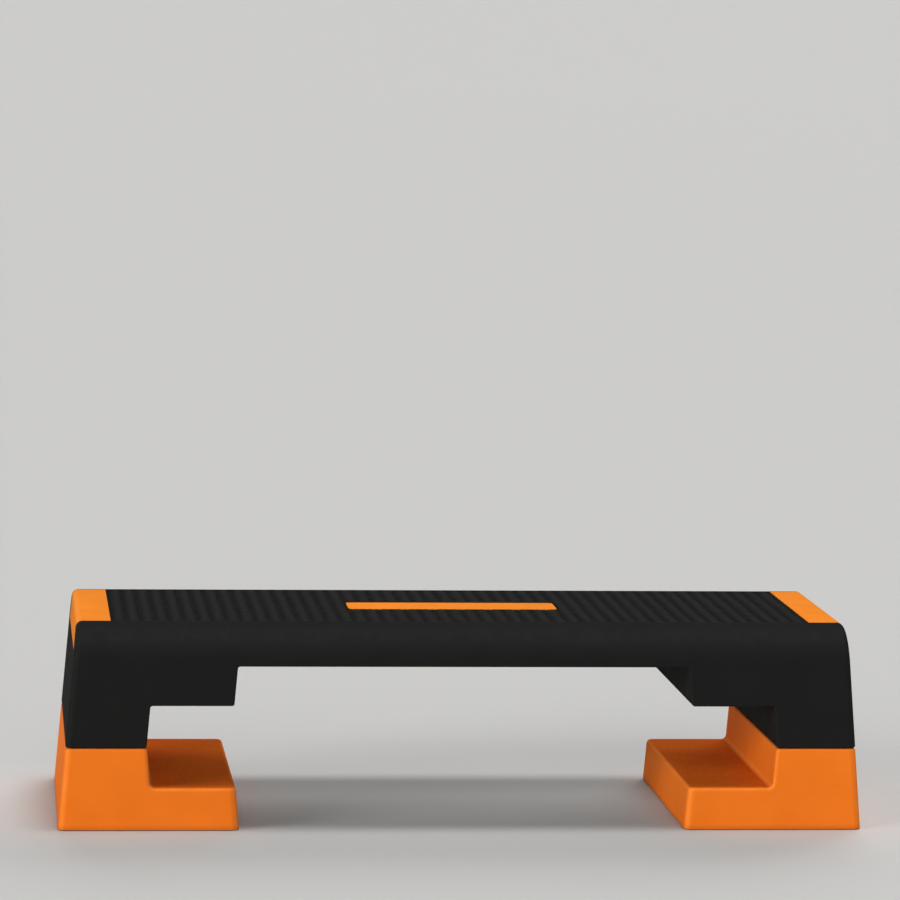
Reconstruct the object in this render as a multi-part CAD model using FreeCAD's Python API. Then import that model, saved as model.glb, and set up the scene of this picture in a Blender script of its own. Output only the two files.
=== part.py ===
"""Aerobic step platform: a one-piece deck that stands on two stepped risers.

Millimetres. The origin is on the floor under the middle of the platform, +X runs along
its length, +Y to the back and +Z up. The two ends are mirror images in X.
"""
import FreeCAD
import Part
import math
import os

Vector = FreeCAD.Vector

# Overall sizes
LENGTH = 980.0           # over the bases of the two risers
DEPTH = 380.0            # front to back, deck and risers alike
RISER_HEIGHT = 100.0     # floor to the top of a riser's tall part
DECK_HEIGHT = 150.0      # riser top to tread top, which is also the deck's height on the floor
DRAFT = 4.8              # degrees that the end faces and step faces lean

# Deck shell
EDGE_HEIGHT = 50.0       # tread top to underside, between the steps
LEG_WIDTH = 97.5         # along X, at the bottom of a leg
LEG_DROP = 51.0          # how far a leg reaches below the step beside it
STEP_WIDTH = 101.0       # along X, at the bottom of the step
NOSE_RADIUS = 42.0       # long round along the front and back of the top
END_RADIUS = 8.0         # round about each end face
LOWER_CORNER_RADIUS = 3.0    # corners of the legs and steps, seen from the front
LOWER_EDGE_RADIUS = 2.0      # round along the lower edges
DECK_WALL = 5.0
TOP_PLATE = 4.0          # under the tread recess
RIB = 3.0                # thickness of every stiffening rib
RIB_ROW_INNER = 45.0     # Y of the inner pair of rib rows
RIB_ROW_OUTER = 135.0    # Y of the outer pair, which also locates the risers' bosses
RIB_LIFT = 6.0           # lower edge of a plain rib above the shell's open edge
CROSS_RIB_PITCH = 78.0   # spacing of the cross ribs under the middle of the deck

# Tread mat, end strips and centre inlay
MAT_THICKNESS = 3.0      # base and ridges together
RIDGE_HEIGHT = 1.0
RIDGE_PITCH = 17.35
RIDGE_WIDTH = 13.0       # at the foot of a ridge
RIDGE_CREST = 11.0       # at its top
MAT_MARGIN = 3.0         # least plain border beside the first and last ridge
STRIP_WIDTH = 42.0       # on the top, from the end's upper corner
STRIP_DROP = 35.5        # down the end face, from the top
STRIP_THICKNESS = 2.5
INLAY_LENGTH = 260.0
INLAY_WIDTH = 57.0
INLAY_CORNER = 6.0
INLAY_THICKNESS = 1.8
INLAY_EDGE_RADIUS = 0.4
SEAM = 0.3               # gap round each inset piece

# Risers
RISER_LENGTH = 218.5     # along X, at the base
SHELF_HEIGHT = 52.0      # floor to the shelf
TALL_LIP = 0.8           # the tall part's inner edge beyond the leg's inner edge
RISER_WALL = 4.0
RISER_END_RADIUS = 9.0   # upright corners
SHELF_EDGE_RADIUS = 5.0  # round along the shelf and up the tall part
TALL_EDGE_RADIUS = 3.0   # round about the top of the tall part
SHELF_CORNER_RADIUS = 6.5    # hollow corner between the shelf and the tall part
BOSS_HEIGHT = 10.0       # locating boss on the tall part, which enters the leg
BOSS_GAP = 2.5           # between the boss and the leg's walls and ribs
BOSS_EDGE = 2.0          # chamfer round the boss's top
RIB_CLEARANCE = 8.0      # between the boss's top and the plain ribs above it

# Rubber feet, alike under the risers and under the deck's legs
FOOT_RADIUS = 11.0
FOOT_PROUD = 1.0         # below the shell that holds it
FOOT_SEAT = 2.0          # depth of its round seat
FOOT_EDGE = 0.6          # chamfer round its sole
STEM_RADIUS = 3.0
STEM_LENGTH = 9.0
STEM_END_GAP = 1.0       # left above the stem in its blind hole
FOOT_GAP = 0.25          # round the foot and the stem
COLUMN_WALL = 3.0        # shell round and above a foot's seat
COLUMN_BITE = 2.5        # how far a foot's column runs into the walls beside it

# Levels and lines that follow from the sizes
LEAN = math.tan(math.radians(DRAFT))
OVER = 10.0              # reach of a cutting solid past the face that it opens
TOLERANCE = 0.01         # within which two lengths agree
HALF_DEPTH = DEPTH / 2
BASE_Z = FOOT_PROUD
TOP_Z = RISER_HEIGHT + DECK_HEIGHT
LEG_Z = RISER_HEIGHT + FOOT_PROUD
STEP_Z = LEG_Z + LEG_DROP
UNDERSIDE_Z = TOP_Z - EDGE_HEIGHT
CEILING_Z = TOP_Z - MAT_THICKNESS - TOP_PLATE
TREAD_HALF_DEPTH = HALF_DEPTH - NOSE_RADIUS
LEVEL_WALL = DECK_WALL / math.cos(math.radians(DRAFT))
RISER_LEVEL_WALL = RISER_WALL / math.cos(math.radians(DRAFT))
STRIP_LEVEL = STRIP_THICKNESS / math.cos(math.radians(DRAFT))


def end_x(z):
    """X of the leaning end face at a height."""
    return LENGTH / 2 - (z - BASE_Z) * LEAN


def leg_inner_x(z):
    """X of the leg's inner face at a height."""
    return end_x(z) - LEG_WIDTH


def step_inner_x(z):
    """X of the step's inner face at a height."""
    return leg_inner_x(STEP_Z) - STEP_WIDTH - (z - STEP_Z) * LEAN


STRIP_INNER_X = end_x(TOP_Z) - STRIP_WIDTH
STRIP_LOW_Z = TOP_Z - STRIP_DROP
COLUMN_RADIUS = FOOT_RADIUS + FOOT_GAP + COLUMN_WALL
COLUMN_HEIGHT = FOOT_SEAT + STEM_LENGTH + STEM_END_GAP + COLUMN_WALL


def in_front(a, b):
    """A point of a front view outline."""
    return Vector(a, 0, b)


def in_side(a, b):
    """A point of a side view outline."""
    return Vector(0, a, b)


def in_plan(a, b):
    """A point of a plan outline."""
    return Vector(a, b, 0)


def outline(points, place):
    """A closed face through (a, b, corner radius) points."""
    corners = [place(a, b) for a, b, radius in points]
    edges = []
    joints = []
    for index, (a, b, radius) in enumerate(points):
        corner = corners[index]
        if radius == 0:
            joints.append((corner, corner))
            continue
        before = (corners[index - 1] - corner).normalize()
        after = (corners[(index + 1) % len(points)] - corner).normalize()
        half_angle = before.getAngle(after) / 2
        run = radius / math.tan(half_angle)
        middle = (before + after).normalize() * (radius / math.sin(half_angle) - radius)
        joints.append((corner + before * run, corner + after * run))
        edges.append(Part.Arc(joints[-1][0], corner + middle, joints[-1][1]).toShape())
    for index, (enter, leave) in enumerate(joints):
        edges.append(Part.makeLine(leave, joints[(index + 1) % len(joints)][0]))
    return Part.Face(Part.Wire(Part.__sortEdges__(edges)))


def across(face, half_width):
    """A front view face drawn out front to back, both ways from the middle."""
    face.translate(Vector(0, -half_width, 0))
    return face.extrude(Vector(0, 2 * half_width, 0))


def along(face, half_length):
    """A side view face drawn out along X, both ways from the middle."""
    face.translate(Vector(-half_length, 0, 0))
    return face.extrude(Vector(2 * half_length, 0, 0))


def block(low, high):
    """A box between two corners."""
    size = [high[axis] - low[axis] for axis in range(3)]
    return Part.makeBox(size[0], size[1], size[2], Vector(*low))


def mirrored(shape):
    """The same piece at the other end."""
    return shape.mirror(Vector(0, 0, 0), Vector(1, 0, 0))


def both_ends(points):
    """A front view outline's right half and its mirror image, as one run."""
    return points + [(-a, b, radius) for a, b, radius in reversed(points)]


def rounded(shape, radius, chosen):
    """The shape with a round on each edge whose middle the test chooses."""
    edges = []
    for edge in shape.Edges:
        middle = edge.valueAt((edge.FirstParameter + edge.LastParameter) / 2)
        if chosen(middle):
            edges.append(edge)
    return shape.makeFillet(radius, edges)


def near(a, b):
    """Whether two lengths agree."""
    return abs(a - b) < TOLERANCE


def between(value, low, high):
    """Whether a length lies inside two others."""
    return low + TOLERANCE < value < high - TOLERANCE


def foot(x, y, z):
    """A rubber foot with its sole at a point."""
    thickness = FOOT_PROUD + FOOT_SEAT
    disc = Part.makeCylinder(FOOT_RADIUS, thickness, Vector(x, y, z))
    sole = [edge for edge in disc.Edges if near(edge.BoundBox.ZMax, z)]
    stem = Part.makeCylinder(STEM_RADIUS, thickness + STEM_LENGTH, Vector(x, y, z))
    return disc.makeChamfer(FOOT_EDGE, sole).fuse(stem).removeSplitter()


def foot_seat(x, y, z):
    """The seat and blind hole that a foot plugs into, in a shell whose rim is at z."""
    radius = FOOT_RADIUS + FOOT_GAP
    seat = Part.makeCylinder(radius, OVER + FOOT_SEAT, Vector(x, y, z - OVER))
    depth = FOOT_SEAT + STEM_LENGTH + STEM_END_GAP
    return seat.fuse(Part.makeCylinder(STEM_RADIUS + FOOT_GAP, depth, Vector(x, y, z)))


def foot_column(x, y, z):
    """The moulded column that holds a foot's seat."""
    return Part.makeCylinder(COLUMN_RADIUS, COLUMN_HEIGHT, Vector(x, y, z))


def corner_places(inner_x, outer_x, wall):
    """Named centres of the four feet under a base between two lines of X."""
    inset = wall + COLUMN_RADIUS - COLUMN_BITE
    places = {}
    for row, y in (("front", inset - HALF_DEPTH), ("back", HALF_DEPTH - inset)):
        places[row + "_inner"] = (inner_x + inset, y)
        places[row + "_outer"] = (outer_x - inset, y)
    return places


def leg_places():
    """Feet under the right leg."""
    return corner_places(leg_inner_x(LEG_Z), end_x(LEG_Z), DECK_WALL)


def riser_places():
    """Feet under the right riser."""
    return corner_places(LENGTH / 2 - RISER_LENGTH, LENGTH / 2, RISER_WALL)


def rib_rows(low_x, high_x, low_z, high_z, rows):
    """Ribs that run along X at the given rows of Y."""
    return [
        block((low_x, y - RIB / 2, low_z), (high_x, y + RIB / 2, high_z))
        for row in rows
        for y in (-row, row)
    ]


def deck_envelope():
    """The deck's outer form, solid, with its rounded edges."""
    lower = LOWER_CORNER_RADIUS
    front = both_ends([
        (end_x(TOP_Z), TOP_Z, 0),
        (end_x(LEG_Z), LEG_Z, 0),
        (leg_inner_x(LEG_Z), LEG_Z, lower),
        (leg_inner_x(STEP_Z), STEP_Z, lower),
        (step_inner_x(STEP_Z), STEP_Z, lower),
        (step_inner_x(UNDERSIDE_Z), UNDERSIDE_Z, lower),
    ])
    side = [
        (-HALF_DEPTH, LEG_Z - OVER, 0),
        (HALF_DEPTH, LEG_Z - OVER, 0),
        (HALF_DEPTH, TOP_Z, NOSE_RADIUS),
        (-HALF_DEPTH, TOP_Z, NOSE_RADIUS),
    ]
    body = across(outline(front, in_front), HALF_DEPTH)
    body = body.common(along(outline(side, in_side), LENGTH / 2))
    body = rounded(
        body,
        END_RADIUS,
        lambda at: near(abs(at.x), end_x(at.z)) and not near(at.z, LEG_Z),
    )
    return rounded(body, LOWER_EDGE_RADIUS, lambda at: near(at.z, LEG_Z))


def inner_section(length):
    """The space inside the deck's front and back walls and under its top plate."""
    inside = HALF_DEPTH - DECK_WALL
    side = [
        (-inside, LEG_Z - OVER, 0),
        (inside, LEG_Z - OVER, 0),
        (inside, TOP_Z - DECK_WALL, NOSE_RADIUS - DECK_WALL),
        (-inside, TOP_Z - DECK_WALL, NOSE_RADIUS - DECK_WALL),
    ]
    section = along(outline(side, in_side), length)
    room = block((-length, -HALF_DEPTH, LEG_Z - OVER), (length, HALF_DEPTH, CEILING_Z))
    return section.common(room)


def leg_pocket():
    """The hollow of the right leg, open below."""
    inner = leg_inner_x(STEP_Z) + LEVEL_WALL
    front = [
        (end_x(CEILING_Z) - LEVEL_WALL, CEILING_Z, 0),
        (end_x(LEG_Z - OVER) - LEVEL_WALL, LEG_Z - OVER, 0),
        (leg_inner_x(LEG_Z - OVER) + LEVEL_WALL, LEG_Z - OVER, 0),
        (inner, STEP_Z, 0),
        (inner, CEILING_Z, 0),
    ]
    pocket = across(outline(front, in_front), HALF_DEPTH)
    ribs = rib_rows(0, LENGTH, LEG_Z, TOP_Z, [RIB_ROW_OUTER])
    plain_rib_z = RISER_HEIGHT + BOSS_HEIGHT + RIB_CLEARANCE
    ribs += rib_rows(0, LENGTH, plain_rib_z, TOP_Z, [RIB_ROW_INNER])
    columns = [foot_column(x, y, LEG_Z) for x, y in leg_places().values()]
    return pocket.cut(ribs + columns)


def step_pocket():
    """The hollow of the right step, open below."""
    inner = step_inner_x(UNDERSIDE_Z) + LEVEL_WALL
    outer = leg_inner_x(STEP_Z)
    front = [
        (outer, CEILING_Z, 0),
        (outer, STEP_Z - OVER, 0),
        (step_inner_x(STEP_Z - OVER) + LEVEL_WALL, STEP_Z - OVER, 0),
        (inner, UNDERSIDE_Z, 0),
        (inner, CEILING_Z, 0),
    ]
    pocket = across(outline(front, in_front), HALF_DEPTH)
    ribs = rib_rows(0, LENGTH, STEP_Z, TOP_Z, [RIB_ROW_OUTER])
    plain_rib_z = STEP_Z + BOSS_HEIGHT + RIB_CLEARANCE
    ribs += rib_rows(0, LENGTH, plain_rib_z, TOP_Z, [RIB_ROW_INNER])
    return pocket.cut(ribs)


def middle_pocket():
    """The hollow under the middle of the deck, open below."""
    half = step_inner_x(UNDERSIDE_Z)
    low = UNDERSIDE_Z + RIB_LIFT
    pocket = block((-half, -HALF_DEPTH, UNDERSIDE_Z - OVER), (half, HALF_DEPTH, CEILING_Z))
    ribs = rib_rows(-half, half, low, TOP_Z, [RIB_ROW_INNER, RIB_ROW_OUTER])
    spans = max(1, round(2 * half / CROSS_RIB_PITCH))
    for index in range(1, spans):
        x = 2 * half * index / spans - half
        ribs.append(block((x - RIB / 2, -HALF_DEPTH, low), (x + RIB / 2, HALF_DEPTH, TOP_Z)))
    return pocket.cut(ribs)


def strip_recess():
    """The space in the deck for the right end strip."""
    low = STRIP_LOW_Z - SEAM
    floor = TOP_Z - STRIP_THICKNESS
    front = [
        (STRIP_INNER_X, TOP_Z + OVER, 0),
        (LENGTH / 2, TOP_Z + OVER, 0),
        (LENGTH / 2, low, 0),
        (end_x(low) - STRIP_LEVEL, low, 0),
        (end_x(floor) - STRIP_LEVEL, floor, END_RADIUS - STRIP_THICKNESS),
        (STRIP_INNER_X, floor, 0),
    ]
    return across(outline(front, in_front), TREAD_HALF_DEPTH)


def deck_shell():
    """The moulded deck with its legs, hollow and ribbed below."""
    body = deck_envelope()
    floor = TOP_Z - MAT_THICKNESS
    recess = block(
        (-STRIP_INNER_X, -TREAD_HALF_DEPTH, floor),
        (STRIP_INNER_X, TREAD_HALF_DEPTH, TOP_Z + OVER),
    )
    section = inner_section(LENGTH / 2)
    right = [leg_pocket().common(section), step_pocket().common(section), strip_recess()]
    right += [foot_seat(x, y, LEG_Z) for x, y in leg_places().values()]
    left = [mirrored(shape) for shape in right]
    return body.cut([recess, middle_pocket().common(section)] + right + left)


def tread_mat():
    """The rubber mat with ridges from front to back and a shallow place for the inlay."""
    half_length = STRIP_INNER_X - SEAM
    half_depth = TREAD_HALF_DEPTH - SEAM
    floor = TOP_Z - MAT_THICKNESS
    foot_z = TOP_Z - RIDGE_HEIGHT
    count = int((2 * half_length - 2 * MAT_MARGIN - RIDGE_WIDTH) / RIDGE_PITCH) + 1
    points = [(half_length, foot_z, 0), (half_length, floor, 0)]
    points += [(-half_length, floor, 0), (-half_length, foot_z, 0)]
    for index in range(count):
        x = (index - (count - 1) / 2) * RIDGE_PITCH
        points += [(x - RIDGE_WIDTH / 2, foot_z, 0), (x - RIDGE_CREST / 2, TOP_Z, 0)]
        points += [(x + RIDGE_CREST / 2, TOP_Z, 0), (x + RIDGE_WIDTH / 2, foot_z, 0)]
    return across(outline(points, in_front), half_depth).cut(inlay_block(SEAM, OVER))


def inlay_block(grown, raised):
    """The inlay's form, grown all round in plan and raised above the tread."""
    x = INLAY_LENGTH / 2 + grown
    y = INLAY_WIDTH / 2 + grown
    corner = INLAY_CORNER + grown
    plan = outline([(x, y, corner), (-x, y, corner), (-x, -y, corner), (x, -y, corner)], in_plan)
    plan.translate(Vector(0, 0, TOP_Z - INLAY_THICKNESS))
    return plan.extrude(Vector(0, 0, INLAY_THICKNESS + raised))


def centre_inlay():
    """The plain bar let into the middle of the mat."""
    return rounded(inlay_block(0, 0), INLAY_EDGE_RADIUS, lambda at: near(at.z, TOP_Z))


def end_strip():
    """The strip over the right end of the top, folded down the end face."""
    floor = TOP_Z - STRIP_THICKNESS
    front = [
        (STRIP_INNER_X + SEAM, TOP_Z, 0),
        (end_x(TOP_Z), TOP_Z, END_RADIUS),
        (end_x(STRIP_LOW_Z), STRIP_LOW_Z, 0),
        (end_x(STRIP_LOW_Z) - STRIP_LEVEL, STRIP_LOW_Z, 0),
        (end_x(floor) - STRIP_LEVEL, floor, END_RADIUS - STRIP_THICKNESS),
        (STRIP_INNER_X + SEAM, floor, 0),
    ]
    return across(outline(front, in_front), TREAD_HALF_DEPTH - SEAM)


def shelf_end_x(z):
    """X of the inner end of a riser at a height."""
    return LENGTH / 2 - RISER_LENGTH + (z - BASE_Z) * LEAN


def tall_inner_x(z):
    """X of the inner face of a riser's tall part at a height."""
    return leg_inner_x(LEG_Z) - TALL_LIP + (z - RISER_HEIGHT) * LEAN


def riser_envelope():
    """The right riser's outer form, solid, with its rounded edges."""
    front = [
        (LENGTH / 2, BASE_Z, 0),
        (end_x(RISER_HEIGHT), RISER_HEIGHT, 0),
        (tall_inner_x(RISER_HEIGHT), RISER_HEIGHT, 0),
        (tall_inner_x(SHELF_HEIGHT), SHELF_HEIGHT, SHELF_CORNER_RADIUS),
        (shelf_end_x(SHELF_HEIGHT), SHELF_HEIGHT, 0),
        (shelf_end_x(BASE_Z), BASE_Z, 0),
    ]
    body = across(outline(front, in_front), HALF_DEPTH)
    body = rounded(
        body,
        RISER_END_RADIUS,
        lambda at: near(abs(at.y), HALF_DEPTH)
        and (near(at.x, end_x(at.z)) or near(at.x, shelf_end_x(at.z)))
        and between(at.z, BASE_Z, RISER_HEIGHT),
    )
    shelf_limit = tall_inner_x(SHELF_HEIGHT) - SHELF_CORNER_RADIUS
    body = rounded(
        body,
        SHELF_EDGE_RADIUS,
        lambda at: near(at.z, SHELF_HEIGHT) and at.x < shelf_limit,
    )
    return rounded(body, TALL_EDGE_RADIUS, lambda at: near(at.z, RISER_HEIGHT))


def boss_block(shrink):
    """The locating boss, from inside the tall part upwards, drawn in all round."""
    low = leg_inner_x(LEG_Z) + LEVEL_WALL + BOSS_GAP + shrink
    high = end_x(LEG_Z + BOSS_HEIGHT) - LEVEL_WALL - BOSS_GAP - shrink
    half = RIB_ROW_OUTER - RIB / 2 - BOSS_GAP - shrink
    top = RISER_HEIGHT + BOSS_HEIGHT - shrink
    return block((low, -half, SHELF_HEIGHT), (high, half, top))


def tall_pocket():
    """The hollow of the right riser's tall part and boss, open below."""
    ceiling = RISER_HEIGHT - RISER_WALL
    inner = tall_inner_x(RISER_HEIGHT) + RISER_LEVEL_WALL
    front = [
        (end_x(BASE_Z - OVER) - RISER_LEVEL_WALL, BASE_Z - OVER, 0),
        (end_x(ceiling) - RISER_LEVEL_WALL, ceiling, 0),
        (inner, ceiling, 0),
        (inner, BASE_Z - OVER, 0),
    ]
    pocket = across(outline(front, in_front), HALF_DEPTH - RISER_WALL)
    return pocket.fuse(boss_block(RISER_WALL))


def shelf_pocket():
    """The hollow under the right riser's shelf, open below."""
    ceiling = SHELF_HEIGHT - RISER_WALL
    outer = tall_inner_x(RISER_HEIGHT)
    front = [
        (shelf_end_x(BASE_Z - OVER) + RISER_LEVEL_WALL, BASE_Z - OVER, 0),
        (outer, BASE_Z - OVER, 0),
        (outer, ceiling, 0),
        (shelf_end_x(ceiling) + RISER_LEVEL_WALL, ceiling, 0),
    ]
    return across(outline(front, in_front), HALF_DEPTH - RISER_WALL)


def riser():
    """The right riser: an open shell with ribs, foot columns and a locating boss."""
    boss = boss_block(0)
    rim = [edge for edge in boss.Edges if near(edge.BoundBox.ZMin, RISER_HEIGHT + BOSS_HEIGHT)]
    body = riser_envelope().fuse(boss.makeChamfer(BOSS_EDGE, rim))
    pockets = [tall_pocket(), shelf_pocket()]
    kept = [foot_column(x, y, BASE_Z) for x, y in riser_places().values()]
    low = BASE_Z + RIB_LIFT
    kept += rib_rows(0, LENGTH, low, TOP_Z, [RIB_ROW_INNER, RIB_ROW_OUTER])
    for pocket in pockets:
        middle = (pocket.BoundBox.XMin + pocket.BoundBox.XMax) / 2
        kept.append(block((middle - RIB / 2, -DEPTH, low), (middle + RIB / 2, DEPTH, TOP_Z)))
    tools = [pocket.cut(kept) for pocket in pockets]
    tools += [foot_seat(x, y, BASE_Z) for x, y in riser_places().values()]
    return body.cut(tools).removeSplitter()


def pieces():
    """Every piece at rest, by name."""
    made = {
        "deck_shell": deck_shell(),
        "tread_mat": tread_mat(),
        "centre_inlay": centre_inlay(),
    }
    right = {"end_strip": end_strip(), "riser": riser()}
    for place, (x, y) in leg_places().items():
        right["leg_pad_" + place] = foot(x, y, RISER_HEIGHT)
    for place, (x, y) in riser_places().items():
        right["riser_foot_" + place] = foot(x, y, 0)
    for name, shape in right.items():
        made["right_" + name] = shape
        made["left_" + name] = mirrored(shape)
    return made


os.makedirs("parts", exist_ok=True)
for name, shape in pieces().items():
    shape.exportStep("parts/" + name + ".step")
    print(name, shape.isValid(), len(shape.Solids), round(shape.Volume / 1000, 2), "cm3")
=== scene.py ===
"""Looks of the aerobic step platform: a black deck with a ribbed tread on two orange risers.

Metres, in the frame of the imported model: +X along the length, +Y to the back, +Z up.
"""
import math
import bmesh
import bpy
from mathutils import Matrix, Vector


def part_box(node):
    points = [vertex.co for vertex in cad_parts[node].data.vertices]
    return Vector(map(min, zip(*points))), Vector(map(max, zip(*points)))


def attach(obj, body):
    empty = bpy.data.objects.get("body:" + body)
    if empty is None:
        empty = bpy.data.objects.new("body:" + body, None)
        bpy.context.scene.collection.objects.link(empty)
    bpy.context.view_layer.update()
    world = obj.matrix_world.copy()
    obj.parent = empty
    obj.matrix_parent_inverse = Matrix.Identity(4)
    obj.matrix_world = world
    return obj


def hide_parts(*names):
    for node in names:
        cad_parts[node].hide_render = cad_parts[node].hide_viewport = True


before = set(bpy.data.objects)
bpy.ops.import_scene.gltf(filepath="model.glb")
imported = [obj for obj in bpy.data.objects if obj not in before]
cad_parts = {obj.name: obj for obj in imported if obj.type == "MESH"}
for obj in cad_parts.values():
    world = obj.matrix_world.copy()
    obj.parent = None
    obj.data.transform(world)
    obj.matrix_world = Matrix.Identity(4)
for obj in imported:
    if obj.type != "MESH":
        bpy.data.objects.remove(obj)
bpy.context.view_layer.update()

MM = 0.001
NEAR = 0.05 * MM            # within which two places agree
TOUCHING = 0.01 * MM        # within which neighbouring tiles are merged
DOUBLED = 0.001 * MM        # within which two points are one
ALONG = 0.9                 # share of a direction that counts as along an axis
LEVEL = 0.999               # share of a normal that counts as level

# Angles between faces
SMOOTH_ANGLE = math.radians(35)    # a modelled piece is shaded smooth below this
SOFTEN_ANGLE = math.radians(40)    # a strip's edges are softened above this
CREASE_ANGLE = math.radians(30)    # a packed shell's edges stay crisp above this

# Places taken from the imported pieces
mat_low, mat_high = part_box("tread_mat")
strip_low, strip_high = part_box("right_end_strip")
inlay_low, inlay_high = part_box("centre_inlay")
TOP = mat_high.z

# Shared sizes
DRAFT = math.radians(4.8)   # lean of the end faces
LEAN = math.tan(DRAFT)
END_RADIUS = 8 * MM         # round where the top turns down the end
END_STEPS = 10              # facets of that round

# Tread
RIDGE_PITCH = 17.35 * MM
RIDGE_WIDTH = 13 * MM
RIDGE_HEIGHT = 1 * MM
RIDGE_STEPS = 4             # facets from a ridge's foot to its crest
LUGS_IN_DEPTH = 13          # short bars in each groove, front to back
LUG_LENGTH = 7 * MM
LUG_HEIGHT = 0.55 * MM
LUG_TAPER = 0.82            # top of a lug over its foot
INLAY_SEAM = 0.3 * MM       # gap round the inlay

# Strips and inlay
STRIP_THICKNESS = 2.5 * MM
INLAY_CORNER = 6 * MM
INLAY_STEPS = 8             # facets of each corner
TRIM_EDGE = 0.4 * MM        # soft edge round the orange trim
TRIM_STEPS = 3              # facets of the inlay's soft edge

# Feet
FOOT_RADIUS = 11 * MM
FOOT_THICKNESS = 3 * MM
FOOT_SIDES = 40             # facets round a foot
FOOT_EDGE = 0.6 * MM        # round of the sole's and the stem's edge
SOLE_STEPS = 3              # facets of the sole's edge
STEM_STEPS = 2              # facets of the stem's edge
FOOT_RING = 3 * MM          # width of the sole's outer ring
FOOT_STEP = FOOT_RING / 3   # width of the groove's floor and of each side
FOOT_GROOVE = 0.5 * MM      # depth of the groove inside that ring
STEM_RADIUS = 3 * MM

# Colours
BLACK = (0.0118, 0.0118, 0.0116)
BLACK_RUBBED = (0.016, 0.016, 0.0157)
ORANGE = (0.77, 0.168, 0.0135)
# edges of the orange: lighter and whiter for rubbing, and also as a painted highlight on the rounds
ORANGE_RUBBED_AND_HIGHLIT = (0.86, 0.225, 0.032)
# specks on upward faces: real stipple, tinted redder as a painted tint of the shade under the deck
ORANGE_SPECKS_AND_SHADE_TINT = (0.74, 0.05, 0.006)
TRIM = (0.72, 0.204, 0.0155)
TRIM_RUBBED = (0.8, 0.25, 0.034)
# tread: the grooves' dark colour is painted shade; the crests' lighter colour is wear plus painted
# light
TREAD_GROOVE_SHADE = (0.006, 0.006, 0.0058)
TREAD_CREST_WORN_AND_LIT = (0.0122, 0.0121, 0.0116)
FOOT_BLACK = (0.012, 0.012, 0.0115)
FOOT_DUSTY = (0.024, 0.0235, 0.0225)
FLOOR_GREY = (0.48, 0.476, 0.465)

# Studio sizes
FLOOR_REACH = 120           # from the middle to each edge
FLOOR_RIM = 70              # width of the rim that rises
FLOOR_RISE = 6              # height of the edge above the floor
CAMERA_PLACE = (-0.5635, -5.7547, 1.009)
CAMERA_TURN = (84.4316, -0.8929, -5.4625)    # degrees about X, Y and Z
CAMERA_LENS = 186.66        # focal length in mm


def deselect_all():
    """Goes to object mode with nothing selected."""
    if bpy.context.object and bpy.context.object.mode != "OBJECT":
        bpy.ops.object.mode_set(mode="OBJECT")
    bpy.ops.object.select_all(action="DESELECT")


def take(piece):
    """Makes a piece the only selected one."""
    deselect_all()
    piece.select_set(True)
    bpy.context.view_layer.objects.active = piece


def set_down(name):
    """Names the new primitive, puts its place and size in its mesh and opens it for editing."""
    piece = bpy.context.object
    piece.name = name
    piece.data.name = name
    bpy.ops.object.transform_apply(location=True, rotation=True, scale=True)
    bpy.ops.object.mode_set(mode="EDIT")
    bpy.ops.mesh.select_all(action="DESELECT")
    return piece


def new_block(name, low, high):
    """A block between two corners, open for editing."""
    deselect_all()
    bpy.ops.mesh.primitive_cube_add(size=1, location=(low + high) / 2, scale=high - low)
    return set_down(name)


def new_sheet(name, low, high, z):
    """A flat sheet between two corners at a height, open for editing."""
    deselect_all()
    middle = ((low[0] + high[0]) / 2, (low[1] + high[1]) / 2, z)
    bpy.ops.mesh.primitive_plane_add(size=1, location=middle)
    bpy.context.object.scale = (high[0] - low[0], high[1] - low[1], 1)
    return set_down(name)


def pick_faces(piece, chosen):
    """Selects the faces whose middle and normal pass a test."""
    bpy.ops.mesh.select_mode(type="FACE")
    bpy.ops.mesh.select_all(action="DESELECT")
    mesh = bmesh.from_edit_mesh(piece.data)
    for face in mesh.faces:
        face.select_set(bool(chosen(face.calc_center_median(), face.normal)))
    mesh.select_flush_mode()
    bmesh.update_edit_mesh(piece.data)


def pick_edges(piece, chosen):
    """Selects the edges whose middle and direction pass a test."""
    bpy.ops.mesh.select_mode(type="EDGE")
    bpy.ops.mesh.select_all(action="DESELECT")
    mesh = bmesh.from_edit_mesh(piece.data)
    for edge in mesh.edges:
        start, end = (vertex.co for vertex in edge.verts)
        edge.select_set(bool(chosen((start + end) / 2, (end - start).normalized())))
    mesh.select_flush_mode()
    bmesh.update_edit_mesh(piece.data)


def keep_open_edges(piece):
    """Leaves only the open edges of the selection selected."""
    mesh = bmesh.from_edit_mesh(piece.data)
    for edge in mesh.edges:
        edge.select_set(edge.select and edge.is_boundary)
    mesh.select_flush_mode()
    bmesh.update_edit_mesh(piece.data)


def extrude(offset):
    """Draws the selection out by an offset."""
    bpy.ops.mesh.extrude_region_move(TRANSFORM_OT_translate={"value": offset})


def bevel(width, segments):
    """Rounds the selected edges."""
    bpy.ops.mesh.bevel(offset=width, segments=segments, affect="EDGES", clamp_overlap=False)


def cut(place, normal, clear=False):
    """Cuts the selected faces with a plane, and drops what lies beyond it if asked."""
    bpy.ops.mesh.bisect(plane_co=place, plane_no=normal, clear_outer=clear)


def apply_modifiers(piece):
    """Puts every modifier of a piece into its mesh."""
    take(piece)
    for modifier in list(piece.modifiers):
        bpy.ops.object.modifier_apply(modifier=modifier.name)


def soften(piece, width, segments=2):
    """Rounds every sharp edge of a piece a little."""
    round_edges = piece.modifiers.new("soft edges", "BEVEL")
    round_edges.width = width
    round_edges.segments = segments
    round_edges.limit_method = "ANGLE"
    round_edges.angle_limit = SOFTEN_ANGLE
    round_edges.use_clamp_overlap = True
    apply_modifiers(piece)


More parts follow.
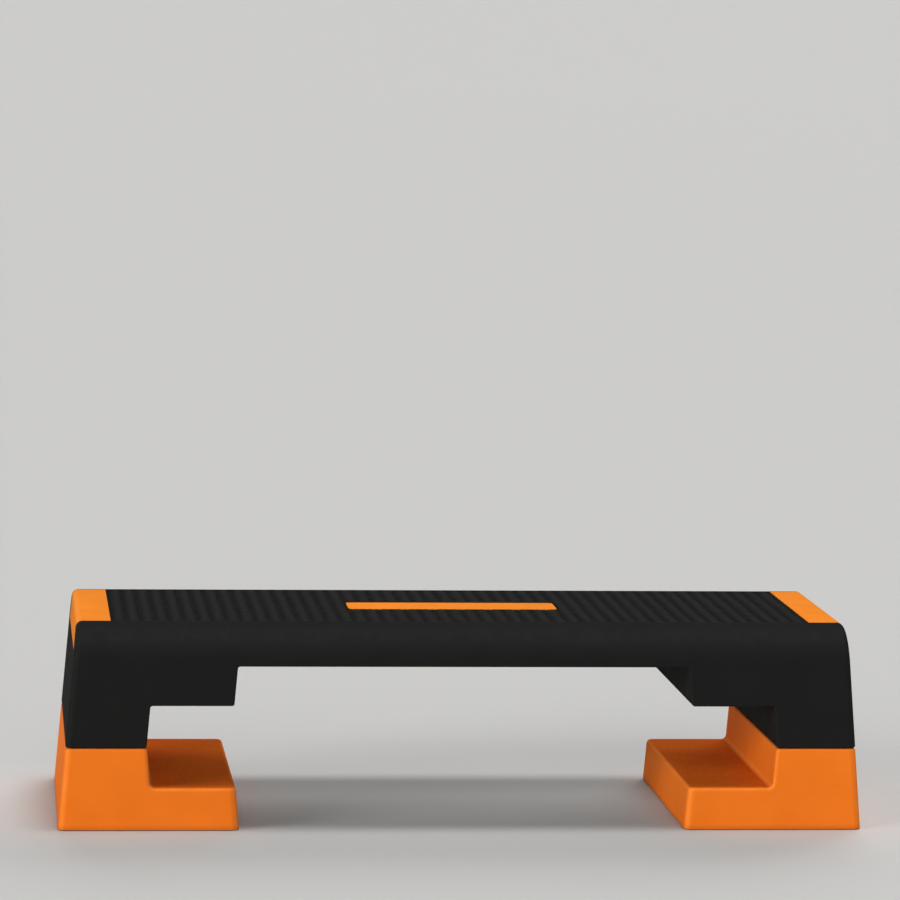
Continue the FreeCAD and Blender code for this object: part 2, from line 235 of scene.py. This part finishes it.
def face_outwards(piece):
    """Merges doubled points and turns every face of a closed piece outwards."""
    take(piece)
    bpy.ops.object.mode_set(mode="EDIT")
    bpy.ops.mesh.select_all(action="SELECT")
    bpy.ops.mesh.remove_doubles(threshold=DOUBLED)
    bpy.ops.mesh.normals_make_consistent(inside=False)
    bpy.ops.object.mode_set(mode="OBJECT")


def finish_piece(piece, body, finish, nodes):
    """Shades a modelled piece, gives it its finish and hands it to the frame."""
    take(piece)
    bpy.ops.object.shade_smooth_by_angle(angle=SMOOTH_ANGLE)
    piece.data.materials.clear()
    piece.data.materials.append(finish)
    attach(piece, body)
    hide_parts(*nodes)


def copy_of(piece, name, offset):
    """A copy of a piece with its own mesh, set over by an offset."""
    take(piece)
    bpy.ops.object.duplicate(linked=False)
    twin = bpy.context.object
    twin.name = name
    twin.data.name = name
    bpy.ops.transform.translate(value=offset)
    bpy.ops.object.transform_apply(location=True, rotation=True, scale=True)
    return twin


def mirror_image(piece, name):
    """The same piece at the other end."""
    twin = copy_of(piece, name, (0, 0, 0))
    bpy.ops.transform.resize(value=(-1, 1, 1), center_override=(0, 0, 0))
    bpy.ops.object.transform_apply(location=True, rotation=True, scale=True)
    face_outwards(twin)
    return twin


# Finishes

def new_finish(name):
    """An empty material with its shader and a place to read patterns from."""
    material = bpy.data.materials.new(name)
    material.use_nodes = True
    nodes = material.node_tree.nodes
    place = nodes.new("ShaderNodeTexCoord")
    return material, nodes["Principled BSDF"], place.outputs["Object"]


def add_node(material, kind, **settings):
    """A new node with some of its settings."""
    node = material.node_tree.nodes.new(kind)
    for name, value in settings.items():
        setattr(node, name, value)
    return node


def join(material, source, target):
    """Links an output to an input."""
    material.node_tree.links.new(source, target)


def noise(material, place, size, detail=2.0, roughness=0.5):
    """Noise with features of a given size, as a value from 0 to 1."""
    node = add_node(material, "ShaderNodeTexNoise")
    node.inputs["Scale"].default_value = 1 / size
    node.inputs["Detail"].default_value = detail
    node.inputs["Roughness"].default_value = roughness
    join(material, place, node.inputs["Vector"])
    return node.outputs["Fac"]


def pebbles(material, place, size):
    """Rounded grains of a given size, as a height from 0 to 1."""
    node = add_node(material, "ShaderNodeTexVoronoi", feature="SMOOTH_F1")
    node.inputs["Scale"].default_value = 1 / size
    node.inputs["Smoothness"].default_value = 0.6
    join(material, place, node.inputs["Vector"])
    return node.outputs["Distance"]


def between(material, value, low, high, start=0.3, end=0.7):
    """A value spread from one level to another."""
    node = add_node(material, "ShaderNodeMapRange")
    node.inputs["From Min"].default_value = start
    node.inputs["From Max"].default_value = end
    node.inputs["To Min"].default_value = low
    node.inputs["To Max"].default_value = high
    join(material, value, node.inputs["Value"])
    return node.outputs["Result"]


def shade(material, value, dark, light, start=0.3, end=0.7):
    """A colour between two, chosen by a value."""
    node = add_node(material, "ShaderNodeValToRGB")
    node.color_ramp.elements[0].position = start
    node.color_ramp.elements[0].color = (*dark, 1)
    node.color_ramp.elements[1].position = end
    node.color_ramp.elements[1].color = (*light, 1)
    join(material, value, node.inputs["Fac"])
    return node.outputs["Color"]


def relief(material, height, depth, strength, below=None):
    """A bump of a given depth from a height, on top of another bump."""
    node = add_node(material, "ShaderNodeBump")
    node.inputs["Distance"].default_value = depth
    node.inputs["Strength"].default_value = strength
    join(material, height, node.inputs["Height"])
    if below:
        join(material, below, node.inputs["Normal"])
    return node.outputs["Normal"]


def scaled(colour, factor):
    """A colour made lighter or darker."""
    return tuple(channel * factor for channel in colour)


def mixed(material, amount, first, second):
    """A colour that goes from one to another by an amount."""
    node = add_node(material, "ShaderNodeMixRGB")
    join(material, amount, node.inputs["Fac"])
    for colour, target in ((first, node.inputs["Color1"]), (second, node.inputs["Color2"])):
        if isinstance(colour, tuple):
            target.default_value = (*colour, 1)
        else:
            join(material, colour, target)
    return node.outputs["Color"]


def worked(material, operation, first, second):
    """Two values put together by one operation."""
    node = add_node(material, "ShaderNodeMath", operation=operation)
    join(material, first, node.inputs[0])
    join(material, second, node.inputs[1])
    return node.outputs["Value"]


def height(material, place):
    """How high a point lies."""
    split = add_node(material, "ShaderNodeSeparateXYZ")
    join(material, place, split.inputs["Vector"])
    return split.outputs["Z"]


def facing(material):
    """How far a surface faces along each axis, as three values from 0 to 1."""
    place = add_node(material, "ShaderNodeTexCoord")
    size = add_node(material, "ShaderNodeVectorMath", operation="ABSOLUTE")
    join(material, place.outputs["Normal"], size.inputs[0])
    split = add_node(material, "ShaderNodeSeparateXYZ")
    join(material, size.outputs["Vector"], split.inputs["Vector"])
    return [split.outputs[axis] for axis in "XYZ"]


def edge_rub_and_highlight(material, place):
    """Rubbed patches along rounded edges, which on the orange also stand for a painted highlight:
    the surface faces along no axis there.
    """
    across, along, up = facing(material)
    flat = worked(material, "MAXIMUM", worked(material, "MAXIMUM", across, along), up)
    edge = between(material, flat, 0, 1, start=0.985, end=0.8)
    blotches = noise(material, place, size=14 * MM, detail=6, roughness=0.65)
    patches = between(material, blotches, 0.25, 1)
    return worked(material, "MULTIPLY", edge, patches)


def moulded_plastic(name, colour, worn_and_painted_light, grain, roughness, gleam):
    """Moulded plastic: a spark-eroded grain, slight mottling, uneven gloss and rubbed edges, whose
    lighter colour on the orange is also a painted highlight.
    """
    material, shader, place = new_finish(name)
    mottle = noise(material, place, size=60 * MM, detail=4)
    tint = shade(material, mottle, scaled(colour, 0.96), scaled(colour, 1.04))
    # rounded edges: rubbed, and on the orange also a painted highlight
    rub_and_painted_light = edge_rub_and_highlight(material, place)
    tint = mixed(material, rub_and_painted_light, tint, worn_and_painted_light)
    join(material, tint, shader.inputs["Base Color"])
    sheen = noise(material, place, size=25 * MM, detail=5)
    gloss = between(material, sheen, roughness - 0.05, roughness + 0.05)
    polish = worked(material, "SUBTRACT", gloss, between(material, rub_and_painted_light, 0, 0.1, start=0, end=1))
    join(material, polish, shader.inputs["Roughness"])
    coarse = relief(material, pebbles(material, place, grain), depth=0.06 * MM, strength=0.35)
    pores = noise(material, place, size=grain / 3)
    fine = relief(material, pores, depth=0.03 * MM, strength=0.25, below=coarse)
    join(material, fine, shader.inputs["Normal"])
    shader.inputs["Specular IOR Level"].default_value = gleam
    return material, shader, place, tint, polish, fine


def black_plastic():
    """Satin black of the deck, a little greyer where it is rubbed."""
    material, *_ = moulded_plastic(
        "satin black plastic", BLACK, BLACK_RUBBED, grain=1.1 * MM, roughness=0.78, gleam=0.02
    )
    return material


def orange_plastic():
    """Orange of the risers: stippled on the faces that are trodden on, the specks tinted redder as
    painted shade, and painted shade darkening it along the floor.
    """
    material, shader, place, tint, polish, fine = moulded_plastic(
        "moulded orange plastic", ORANGE, ORANGE_RUBBED_AND_HIGHLIT, grain=1.4 * MM, roughness=0.7, gleam=0.025
    )
    up = between(material, facing(material)[2], 0, 1, start=0.9, end=0.99)
    specks = noise(material, place, size=2.2 * MM, detail=3)
    hollows = between(material, specks, 0.6, 0, start=0.35, end=0.58)
    # dark specks on upward faces, their redder tint is painted shade
    dark = worked(material, "MULTIPLY", up, hollows)
    tint = mixed(material, dark, tint, ORANGE_SPECKS_AND_SHADE_TINT)
    # painted shade: darker towards the floor, where the riser stands on it
    low = between(material, height(material, place), 0.45, 0, start=1.5 * MM, end=7 * MM)
    tint = mixed(material, low, tint, scaled(ORANGE, 0.5))
    join(material, tint, shader.inputs["Base Color"])
    rough = worked(material, "ADD", polish, between(material, up, 0, 0.22, start=0, end=1))
    join(material, rough, shader.inputs["Roughness"])
    stipple = add_node(material, "ShaderNodeBump")
    stipple.inputs["Distance"].default_value = 0.35 * MM
    join(material, up, stipple.inputs["Strength"])
    join(material, specks, stipple.inputs["Height"])
    join(material, fine, stipple.inputs["Normal"])
    join(material, stipple.outputs["Normal"], shader.inputs["Normal"])
    return material


def orange_trim():
    """Lighter orange of the strips and the inlay."""
    material, *_ = moulded_plastic(
        "light orange trim", TRIM, TRIM_RUBBED, grain=0.9 * MM, roughness=0.7, gleam=0.025
    )
    return material


def tread_rubber():
    """Dull black rubber, greyer on the crests where shoes rub and as painted light, and darker in
    the grooves as painted shade.
    """
    material, shader, place = new_finish("ribbed tread rubber")
    # by height: painted shade in the grooves, crests lighter for wear and as painted light
    rub_and_painted_light = between(material, height(material, place), 0, 1, start=TOP - RIDGE_HEIGHT, end=TOP)
    mottle = between(material, noise(material, place, size=8 * MM, detail=3), -0.45, 0.45)
    worn_and_painted_light = worked(material, "ADD", rub_and_painted_light, mottle)
    tint = shade(material, worn_and_painted_light, TREAD_GROOVE_SHADE, TREAD_CREST_WORN_AND_LIT, start=0.1, end=0.95)
    join(material, tint, shader.inputs["Base Color"])
    gloss = between(material, noise(material, place, size=4 * MM, detail=4), 0.66, 0.82)
    join(material, gloss, shader.inputs["Roughness"])
    coarse = relief(material, pebbles(material, place, size=1.3 * MM), depth=0.12 * MM, strength=0.5)
    pores = noise(material, place, size=0.4 * MM)
    fine = relief(material, pores, depth=0.04 * MM, strength=0.4, below=coarse)
    join(material, fine, shader.inputs["Normal"])
    shader.inputs["Specular IOR Level"].default_value = 0.06
    return material


def foot_rubber():
    """Soft black rubber of the feet and pads, a little dusty."""
    material, shader, place = new_finish("foot rubber")
    dust = noise(material, place, size=5 * MM, detail=6)
    tint = shade(material, dust, FOOT_BLACK, FOOT_DUSTY, start=0.35, end=0.75)
    join(material, tint, shader.inputs["Base Color"])
    gloss = between(material, noise(material, place, size=3 * MM), 0.7, 0.88)
    join(material, gloss, shader.inputs["Roughness"])
    pores = noise(material, place, size=0.5 * MM, detail=3)
    skin = relief(material, pores, depth=0.05 * MM, strength=0.4)
    join(material, skin, shader.inputs["Normal"])
    return material


# Tread mat

def groove_tile(x, y, length):
    """One groove of the mat with its lug and half a ridge on each side."""
    floor = TOP - RIDGE_HEIGHT
    half_groove = (RIDGE_PITCH - RIDGE_WIDTH) / 2
    half_length = length / 2
    tile = new_sheet(
        "tread_mat_detail",
        (x - half_groove, y - half_length),
        (x + half_groove, y + half_length),
        floor,
    )
    bpy.ops.mesh.select_all(action="SELECT")
    cut((x, y, floor), (0, 1, 0))
    half_ridge = RIDGE_WIDTH / 2
    crown = (half_ridge ** 2 + RIDGE_HEIGHT ** 2) / (2 * RIDGE_HEIGHT)
    turn = math.asin(half_ridge / crown)
    for side in (-1, 1):
        pick_edges(tile, lambda at, way: abs(at.x - x - side * half_groove) < NEAR)
        bpy.ops.mesh.spin(
            steps=RIDGE_STEPS,
            angle=-side * turn,
            center=(x + side * RIDGE_PITCH / 2, y, TOP - crown),
            axis=(0, 1, 0),
        )
    half_lug = LUG_LENGTH / 2
    for end in (-1, 1):
        pick_faces(tile, lambda at, normal: abs(at.x - x) < half_groove)
        cut((x, y + end * half_lug, floor), (0, 1, 0))
    pick_faces(tile, lambda at, normal: abs(at.x - x) < half_groove and abs(at.y - y) < half_lug)
    extrude((0, 0, LUG_HEIGHT))
    bpy.ops.transform.resize(value=(LUG_TAPER, LUG_TAPER, 1), center_override=(x, y, floor))
    deselect_all()
    return tile


def in_a_row(piece, count, step):
    """Repeats a piece in a row, with touching edges merged."""
    row = piece.modifiers.new("row", "ARRAY")
    row.count = count
    row.use_relative_offset = False
    row.use_constant_offset = True
    row.constant_offset_displace = step
    row.use_merge_vertices = True
    row.merge_threshold = TOUCHING
    apply_modifiers(piece)


def tread_surface():
    """The mat's upper surface: grooves side by side, with the lugs of every other one set over."""
    length = (mat_high.y - mat_low.y) / LUGS_IN_DEPTH
    pairs = math.ceil((mat_high.x - mat_low.x) / (2 * RIDGE_PITCH))
    x = -pairs * RIDGE_PITCH + RIDGE_PITCH / 2
    surface = groove_tile(x, mat_low.y, length)
    in_a_row(surface, LUGS_IN_DEPTH + 2, (0, length, 0))
    beside = copy_of(surface, "tread_mat_beside", (RIDGE_PITCH, -length / 2, 0))
    take(surface)
    beside.select_set(True)
    bpy.ops.object.join()
    in_a_row(surface, pairs, (2 * RIDGE_PITCH, 0, 0))
    return surface


def trim_to_mat(surface):
    """Cuts the surface to the mat's outline."""
    take(surface)
    bpy.ops.object.mode_set(mode="EDIT")
    for place, normal in (
        (mat_high, (1, 0, 0)),
        (mat_high, (0, 1, 0)),
        (mat_low, (-1, 0, 0)),
        (mat_low, (0, -1, 0)),
    ):
        bpy.ops.mesh.select_all(action="SELECT")
        cut(place, normal, clear=True)
    bpy.ops.mesh.select_all(action="SELECT")
    bpy.ops.mesh.remove_doubles(threshold=TOUCHING)


def close_below(surface):
    """Draws the rim down and closes the mat's underside."""
    pick_edges(surface, lambda at, way: True)
    keep_open_edges(surface)
    extrude((0, 0, 0))
    bpy.ops.transform.resize(value=(1, 1, 0), center_override=(0, 0, mat_low.z))
    bpy.ops.mesh.edge_face_add()
    face_outwards(surface)


def inlay_outline(grown):
    """The inlay's outline in plan, grown all round, as points that run anticlockwise."""
    corner = INLAY_CORNER + grown
    reach_x = inlay_high.x + grown - corner
    reach_y = inlay_high.y + grown - corner
    points = []
    for step in range(4 * (INLAY_STEPS + 1)):
        quarter, part = divmod(step, INLAY_STEPS + 1)
        turn = (quarter + part / INLAY_STEPS) * math.pi / 2
        side_x = 1 if quarter in (0, 3) else -1
        side_y = 1 if quarter in (0, 1) else -1
        x = side_x * reach_x + corner * math.cos(turn)
        y = side_y * reach_y + corner * math.sin(turn)
        points.append(Vector((x, y, TOP)))
    return points


def sink_inlay_place(mat):
    """Cuts the inlay's outline out of the mat's surface and lets in a flat floor."""
    outline = inlay_outline(INLAY_SEAM)
    reach = outline[0].x + RIDGE_PITCH
    width = max(point.y for point in outline) + RIDGE_PITCH
    pick_faces(mat, lambda at, normal: abs(at.x) < reach and abs(at.y) < width)
    sides = [(start, end - start) for start, end in zip(outline, outline[1:] + outline[:1])]
    for start, along in sides:
        cut(start, (along.y, -along.x, 0))
    pick_faces(mat, lambda at, normal: all(
        along.x * (at.y - start.y) - along.y * (at.x - start.x) > 0 for start, along in sides
    ))
    bpy.ops.mesh.delete(type="FACE")
    pick_edges(mat, lambda at, way: abs(at.x) < reach and abs(at.y) < width)
    keep_open_edges(mat)
    extrude((0, 0, 0))
    bpy.ops.transform.resize(value=(1, 1, 0), center_override=(0, 0, inlay_low.z))
    bpy.ops.mesh.edge_face_add()


def tread_mat(finish):
    """The ribbed mat with a shallow place for the inlay."""
    mat = tread_surface()
    trim_to_mat(mat)
    sink_inlay_place(mat)
    close_below(mat)
    finish_piece(mat, "deck", finish, ["tread_mat"])


# Orange trim

def centre_inlay(finish):
    """The bare bar in the middle of the tread, with a soft upper edge."""
    bar = new_block("centre_inlay_detail", inlay_low, inlay_high)
    pick_edges(bar, lambda at, way: abs(way.z) > ALONG)
    bevel(INLAY_CORNER, INLAY_STEPS)
    pick_faces(bar, lambda at, normal: normal.z > ALONG)
    bpy.ops.mesh.region_to_loop()
    bevel(TRIM_EDGE, TRIM_STEPS)
    deselect_all()
    finish_piece(bar, "deck", finish, ["centre_inlay"])


def end_strip():
    """The right strip: over the end of the top and folded down the end face."""
    drop = strip_high.z - strip_low.z
    corner_x = strip_high.x - drop * LEAN
    strip = new_sheet("right_end_strip_detail", strip_low, (corner_x, strip_high.y), strip_high.z)
    pick_edges(strip, lambda at, way: at.x > corner_x - NEAR)
    extrude((drop * LEAN, 0, -drop))
    pick_edges(strip, lambda at, way: abs(at.x - corner_x) < NEAR and at.z > strip_high.z - NEAR)
    turn = math.pi / 2 - DRAFT
    bevel(END_RADIUS * math.tan(turn / 2), END_STEPS)
    deselect_all()
    wall = strip.modifiers.new("thickness", "SOLIDIFY")
    wall.thickness = STRIP_THICKNESS
    wall.offset = -1
    apply_modifiers(strip)
    face_outwards(strip)
    soften(strip, TRIM_EDGE)
    return strip


def end_strips(finish):
    """Both strips."""
    right = end_strip()
    left = mirror_image(right, "left_end_strip_detail")
    finish_piece(right, "deck", finish, ["right_end_strip"])
    finish_piece(left, "deck", finish, ["left_end_strip"])


# Rubber feet

def foot(name, low, high):
    """A rubber foot: a disc with a ringed sole and a stem that plugs into the shell."""
    deselect_all()
    middle = (low + high) / 2
    middle.z = low.z + FOOT_THICKNESS / 2
    bpy.ops.mesh.primitive_cylinder_add(
        vertices=FOOT_SIDES, radius=FOOT_RADIUS, depth=FOOT_THICKNESS, location=middle
    )
    piece = set_down(name)
    pick_faces(piece, lambda at, normal: normal.z < -ALONG)
    bpy.ops.mesh.region_to_loop()
    bevel(FOOT_EDGE, SOLE_STEPS)
    pick_faces(piece, lambda at, normal: normal.z < -LEVEL)
    bpy.ops.mesh.inset(thickness=FOOT_RING)
    bpy.ops.mesh.inset(thickness=FOOT_STEP, depth=-FOOT_GROOVE)
    bpy.ops.mesh.inset(thickness=FOOT_STEP)
    bpy.ops.mesh.inset(thickness=FOOT_STEP, depth=FOOT_GROOVE)
    upper = low.z + FOOT_THICKNESS - NEAR
    pick_faces(piece, lambda at, normal: normal.z > LEVEL and at.z > upper)
    bpy.ops.mesh.inset(thickness=FOOT_RADIUS - STEM_RADIUS)
    extrude((0, 0, high.z - low.z - FOOT_THICKNESS))
    bpy.ops.mesh.region_to_loop()
    bevel(FOOT_EDGE, STEM_STEPS)
    deselect_all()
    return piece


def rubber_feet(finish):
    """A foot or pad for each packed one, all alike."""
    names = [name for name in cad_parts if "_foot_" in name or "_pad_" in name]
    first = names[0]
    first_low, first_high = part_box(first)
    model = foot(first + "_detail", first_low, first_high)
    feet = {first: model}
    for name in names[1:]:
        low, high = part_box(name)
        feet[name] = copy_of(model, name + "_detail", low - first_low)
    for name, piece in feet.items():
        body = "deck" if "_pad_" in name else name.split("_foot_")[0]
        finish_piece(piece, body, finish, [name])


# Shells

def keep_shell(name, finish):
    """A packed shell kept as it is, with smooth rounds, crisp edges and its finish."""
    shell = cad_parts[name]
    for face in shell.data.polygons:
        face.use_smooth = True
    weld = shell.modifiers.new("weld", "WELD")
    weld.merge_threshold = DOUBLED
    crease = shell.modifiers.new("crease", "EDGE_SPLIT")
    crease.split_angle = CREASE_ANGLE
    normals = shell.modifiers.new("even shading", "WEIGHTED_NORMAL")
    normals.keep_sharp = True
    shell.data.materials.clear()
    shell.data.materials.append(finish)


# Studio

def studio_floor():
    """A wide plain floor that rises gently far out, so that its edge does not show."""
    floor = new_sheet("studio_floor", (-FLOOR_REACH, -FLOOR_REACH), (FLOOR_REACH, FLOOR_REACH), 0)
    bpy.ops.mesh.select_all(action="SELECT")
    bpy.ops.mesh.inset(thickness=FLOOR_RIM)
    bpy.ops.mesh.select_all(action="SELECT")
    bpy.ops.mesh.region_to_loop()
    bpy.ops.transform.translate(value=(0, 0, FLOOR_RISE))
    take(floor)
    bpy.ops.object.shade_smooth()
    material, shader, _ = new_finish("pale floor")
    shader.inputs["Base Color"].default_value = (*FLOOR_GREY, 1)
    shader.inputs["Roughness"].default_value = 0.8
    shader.inputs["Specular IOR Level"].default_value = 0.2
    floor.data.materials.append(material)


def soft_lamp(name, place, strength, spread, gleams):
    """A far, wide softbox that shines from a direction, and shows in gloss or not."""
    light = bpy.data.lights.new(name, "SUN")
    light.energy = strength * math.pi
    light.angle = math.radians(spread)
    lamp = bpy.data.objects.new(name, light)
    lamp.location = place
    lamp.rotation_euler = lamp.location.to_track_quat("Z", "Y").to_euler()
    lamp.visible_glossy = gleams
    bpy.context.scene.collection.objects.link(lamp)


def surroundings(level):
    """Even light from all round."""
    world = bpy.data.worlds.new("surroundings")
    world.use_nodes = True
    light = world.node_tree.nodes["Background"]
    light.inputs["Color"].default_value = (1, 1, 1, 1)
    light.inputs["Strength"].default_value = level
    bpy.context.scene.world = world


def camera():
    """The photograph's viewpoint: low, in front and a little to the left."""
    lens = bpy.data.cameras.new("camera")
    lens.lens = CAMERA_LENS
    viewer = bpy.data.objects.new("camera", lens)
    viewer.location = CAMERA_PLACE
    viewer.rotation_euler = [math.radians(turn) for turn in CAMERA_TURN]
    bpy.context.scene.collection.objects.link(viewer)
    bpy.context.scene.camera = viewer


def studio():
    """Floor, lamps, surroundings and camera."""
    studio_floor()
    soft_lamp("overhead", place=(0.5, -0.1, 3), strength=0.54, spread=20, gleams=True)
    soft_lamp("front_fill", place=(0, -2, 0.8), strength=0.385, spread=40, gleams=True)
    soft_lamp("back_fill", place=(0.6, 2, 1.2), strength=0.67, spread=50, gleams=False)
    soft_lamp("left_fill", place=(-2, -1.2, 0.45), strength=0.75, spread=30, gleams=False)
    surroundings(level=0.12)
    camera()
    bpy.context.scene.view_settings.view_transform = "Standard"


deck_finish = black_plastic()
riser_finish = orange_plastic()
trim_finish = orange_trim()
keep_shell("deck_shell", deck_finish)
keep_shell("left_riser", riser_finish)
keep_shell("right_riser", riser_finish)
tread_mat(tread_rubber())
centre_inlay(trim_finish)
end_strips(trim_finish)
rubber_feet(foot_rubber())
studio()

deselect_all()
